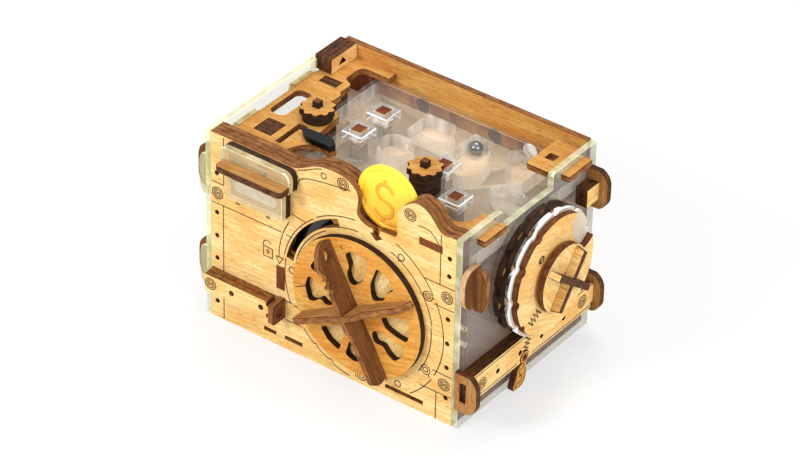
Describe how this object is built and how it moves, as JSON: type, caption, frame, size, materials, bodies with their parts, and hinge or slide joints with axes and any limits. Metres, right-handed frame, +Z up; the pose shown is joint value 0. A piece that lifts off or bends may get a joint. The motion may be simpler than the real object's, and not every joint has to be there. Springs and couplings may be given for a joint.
{
  "type": "maze coin bank",
  "caption": "Box-shaped coin bank of laser-cut plywood and clear plates, with a coin wheel on the front, a stacked dial on the side and a ball maze under a clear cover.",
  "frame": {"origin": "on the ground under the middle of the box body, front wall to back wall and edge to edge", "axes": "+Z up, the front with the wheel faces -Y, the dial faces +X"},
  "size_m": [0.1685, 0.1119, 0.1137],
  "materials": {
    "plywood": "bare birch ply",
    "stained_plywood": "warm ply",
    "burnt_plywood": "laser-burnt ply",
    "clear_acrylic": "clear",
    "black_acrylic": "gloss",
    "gold": "polished gold colour",
    "steel": "polished"
  },
  "bodies": {
    "case": {"front_panel": "plywood", "second_front_panel": "plywood", "third_front_panel": "plywood", "track_backing": "black_acrylic", "front_tenons": "burnt_plywood", "fixed_pins": "plywood", "front_beam": "plywood", "front_keeper": "plywood", "left_side_panel": "clear_acrylic", "right_side_panel": "clear_acrylic", "back_panel": "plywood", "base_panel": "plywood", "right_beam_inner": "burnt_plywood", "right_beam_outer": "plywood", "right_keepers": "plywood", "upper_back_key": "burnt_plywood", "upper_front_key": "plywood", "upper_front_keeper": "plywood", "left_clips": "burnt_plywood", "left_clear_clips": "clear_acrylic", "maze_floor": "plywood", "maze_plate": "clear_acrylic", "maze_cover": "clear_acrylic", "maze_posts": "burnt_plywood", "post_collars": "clear_acrylic", "top_left_plate": "plywood", "top_left_tenons": "burnt_plywood", "top_left_walls": "plywood", "corner_block": "plywood", "corner_plates": "plywood"},
    "wheel": {"wheel_disc": "stained_plywood", "wheel_hub_disc": "stained_plywood", "wheel_washers": "plywood", "wheel_long_fin": "burnt_plywood", "wheel_cross_fin": "plywood", "coin_carrier": "plywood", "wheel_spindle": "plywood"},
    "coin": {"coin": "gold"},
    "slider": {"slider_plate": "plywood", "slider_sheets": "clear_acrylic", "slider_key": "plywood", "slider_ledge": "plywood"},
    "dial": {"dial_base_ring": "clear_acrylic", "dial_lobed_discs": "burnt_plywood", "dial_clear_disc": "clear_acrylic", "dial_face": "plywood", "dial_hub": "plywood", "dial_retainer": "plywood"},
    "knob": {"knob_disc": "plywood", "knob_washers": "plywood", "knob_spindle": "plywood", "knob_fins": "plywood"},
    "left_thumb_wheel": {"left_gear": "plywood", "left_gear_spindle": "burnt_plywood"},
    "centre_thumb_wheel": {"centre_gear": "plywood", "centre_gear_spindle": "burnt_plywood"},
    "ball": {"ball": "steel"},
    "tail_lever": {"tail_lever": "plywood"},
    "black_hook": {"black_hook": "black_acrylic"}
  },
  "joints": [
    {"name": "wheel_turn", "type": "hinge", "parent": "case", "child": "wheel", "pos_m": [0.0164, -0.0482, 0.0415], "axis": [0, -1, 0], "range_deg": [-63.5, 60]},
    {"name": "coin_lift", "type": "slide", "parent": "case", "child": "coin", "axis": [0, 0, 1], "range_m": [0, 0.02]},
    {"name": "slider_slide", "type": "slide", "parent": "case", "child": "slider", "axis": [1, 0, 0], "range_m": [0, 0.012]},
    {"name": "dial_turn", "type": "hinge", "parent": "case", "child": "dial", "pos_m": [0.068, 0, 0.0597], "axis": [1, 0, 0], "continuous": true},
    {"name": "knob_turn", "type": "hinge", "parent": "dial", "child": "knob", "pos_m": [0.068, 0, 0.0597], "axis": [1, 0, 0], "continuous": true},
    {"name": "left_gear_turn", "type": "hinge", "parent": "case", "child": "left_thumb_wheel", "pos_m": [-0.0415, -0.0042, 0.09], "axis": [0, 0, 1], "continuous": true},
    {"name": "centre_gear_turn", "type": "hinge", "parent": "case", "child": "centre_thumb_wheel", "pos_m": [0.0219, -0.012, 0.085], "axis": [0, 0, 1], "continuous": true},
    {"name": "ball_roll", "type": "slide", "parent": "case", "child": "ball", "axis": [0, -1, 0], "range_m": [-0.001, 0.0115]},
    {"name": "tail_lever_swing", "type": "hinge", "parent": "case", "child": "tail_lever", "pos_m": [0.074, -0.0084, 0.0176], "axis": [1, 0, 0], "range_deg": [-10, 25]},
    {"name": "hook_swing", "type": "hinge", "parent": "case", "child": "black_hook", "pos_m": [-0.0335, -0.0187, 0.09], "axis": [0, 0, 1], "range_deg": [-20, 40]}
  ]
}
